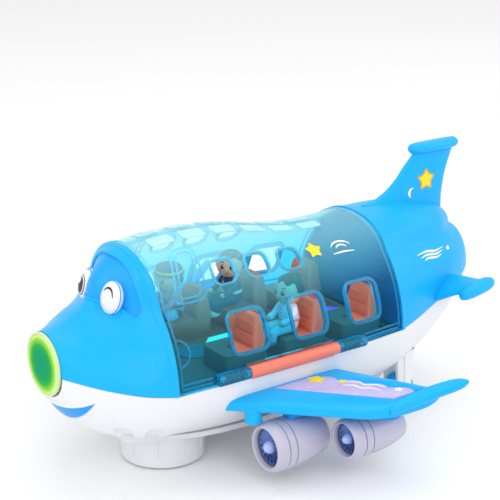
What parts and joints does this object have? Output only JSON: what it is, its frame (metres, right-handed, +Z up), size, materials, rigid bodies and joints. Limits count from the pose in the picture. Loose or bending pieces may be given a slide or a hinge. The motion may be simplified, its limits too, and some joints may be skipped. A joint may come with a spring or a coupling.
{
  "type": "toy airplane",
  "caption": "Toy airliner with a cartoon face, a seated cabin under two hinged clear roof doors, lit wings with engines and a turning drive turret.",
  "frame": {"origin": "on the floor, under the middle of the bounding box", "axes": "+X towards the nose, +Y to port, +Z up"},
  "size_m": [0.307, 0.2596, 0.159],
  "materials": {
    "sky_blue_plastic": "gloss",
    "deep_blue_plastic": "gloss",
    "white_plastic": "gloss",
    "green_lens": "translucent gloss",
    "teal_plastic": "satin",
    "coral_plastic": "satin",
    "lit_panel": "translucent, lit from below",
    "clear_blue": "clear gloss",
    "lavender_panel": "translucent satin",
    "engine_grey": "satin",
    "fan_blue": "satin",
    "steel": "bright",
    "grey_plastic": "matte",
    "brass": "plain",
    "rubber": "matte",
    "cell_jacket": "gloss",
    "board": "matte",
    "pink_suit": "matte",
    "navy_suit": "matte"
  },
  "bodies": {
    "airframe": {"lower_hull": "white_plastic", "base_plate": "white_plastic", "nose_shell": "sky_blue_plastic", "windscreen": "deep_blue_plastic", "eye_port": "white_plastic", "eye_starboard": "white_plastic", "mouth_insert": "sky_blue_plastic", "nose_lamp": "green_lens", "lamp_cup": "white_plastic", "tail_shell": "sky_blue_plastic", "tail_fin": "sky_blue_plastic", "tailplane_port": "sky_blue_plastic", "tailplane_starboard": "sky_blue_plastic", "rear_bulkhead": "teal_plastic", "cabin_tray": "coral_plastic", "seat_port_1": "coral_plastic", "seat_port_2": "coral_plastic", "seat_port_3": "coral_plastic", "seat_starboard_1": "coral_plastic", "seat_starboard_2": "coral_plastic", "seat_starboard_3": "coral_plastic", "aisle_light": "lit_panel", "hinge_bar_port": "coral_plastic", "hinge_bar_starboard": "coral_plastic", "hinge_pins": "steel", "hinge_rail_port": "white_plastic", "hinge_rail_starboard": "white_plastic", "wing_port": "sky_blue_plastic", "wing_starboard": "sky_blue_plastic", "wing_cover_port": "deep_blue_plastic", "wing_cover_starboard": "deep_blue_plastic", "wing_light_port": "lavender_panel", "wing_light_starboard": "lavender_panel", "engine_inner_port": "engine_grey", "engine_inner_starboard": "engine_grey", "engine_outer_port": "engine_grey", "engine_outer_starboard": "engine_grey", "engine_fans": "fan_blue", "rear_axles": "steel", "batteries": "cell_jacket", "battery_cover": "white_plastic", "circuit_board": "board", "speaker": "grey_plastic", "screws": "steel"},
    "door_port": {"door_port": "clear_blue"},
    "door_starboard": {"door_starboard": "clear_blue"},
    "turret": {"turret_housing": "white_plastic", "turret_cover": "white_plastic", "turret_ring": "grey_plastic", "motor": "steel"},
    "drive": {"drive_axle": "steel", "drive_gear": "grey_plastic", "drive_wheels": "rubber"},
    "pinion": {"motor_pinion": "brass"},
    "rear_wheel_port": {"rear_wheel_port": "sky_blue_plastic"},
    "rear_wheel_starboard": {"rear_wheel_starboard": "sky_blue_plastic"},
    "power_switch": {"power_switch": "grey_plastic"},
    "passenger_port": {"passenger_port": "pink_suit"},
    "passenger_starboard": {"passenger_starboard": "navy_suit"},
    "passenger_front": {"passenger_front": "pink_suit"}
  },
  "joints": [
    {"name": "door_port_hinge", "type": "hinge", "parent": "airframe", "child": "door_port", "pos_m": [0.0245, 0.0585, 0.0655], "axis": [-1, 0, 0], "range_deg": [0, 115]},
    {"name": "door_starboard_hinge", "type": "hinge", "parent": "airframe", "child": "door_starboard", "pos_m": [0.0245, -0.0585, 0.0655], "axis": [1, 0, 0], "range_deg": [0, 115]},
    {"name": "turret_turn", "type": "hinge", "parent": "airframe", "child": "turret", "pos_m": [0.0765, 0, 0.012], "axis": [0, 0, 1], "continuous": true},
    {"name": "drive_spin", "type": "hinge", "parent": "turret", "child": "drive", "pos_m": [0.0765, 0, 0.0083], "axis": [0, 1, 0], "continuous": true},
    {"name": "pinion_spin", "type": "hinge", "parent": "turret", "child": "pinion", "pos_m": [0.0668, -0.0075, 0.0083], "axis": [0, 1, 0], "continuous": true},
    {"name": "rear_wheel_port_spin", "type": "hinge", "parent": "airframe", "child": "rear_wheel_port", "pos_m": [-0.0775, 0.032, 0.0115], "axis": [0, 1, 0], "continuous": true},
    {"name": "rear_wheel_starboard_spin", "type": "hinge", "parent": "airframe", "child": "rear_wheel_starboard", "pos_m": [-0.0775, -0.032, 0.0115], "axis": [0, 1, 0], "continuous": true},
    {"name": "switch_slide", "type": "slide", "parent": "airframe", "child": "power_switch", "axis": [1, 0, 0], "range_m": [-0.002, 0.002]},
    {"name": "passenger_port_lift", "type": "slide", "parent": "airframe", "child": "passenger_port", "axis": [0, 0, 1], "range_m": [0, 0.003]},
    {"name": "passenger_starboard_lift", "type": "slide", "parent": "airframe", "child": "passenger_starboard", "axis": [0, 0, 1], "range_m": [0, 0.003]},
    {"name": "passenger_front_lift", "type": "slide", "parent": "airframe", "child": "passenger_front", "axis": [0, 0, 1], "range_m": [0, 0.003]}
  ],
  "couplings": [
    {"joint": "pinion_spin", "follows": "drive_spin", "ratio": -1.4}
  ]
}
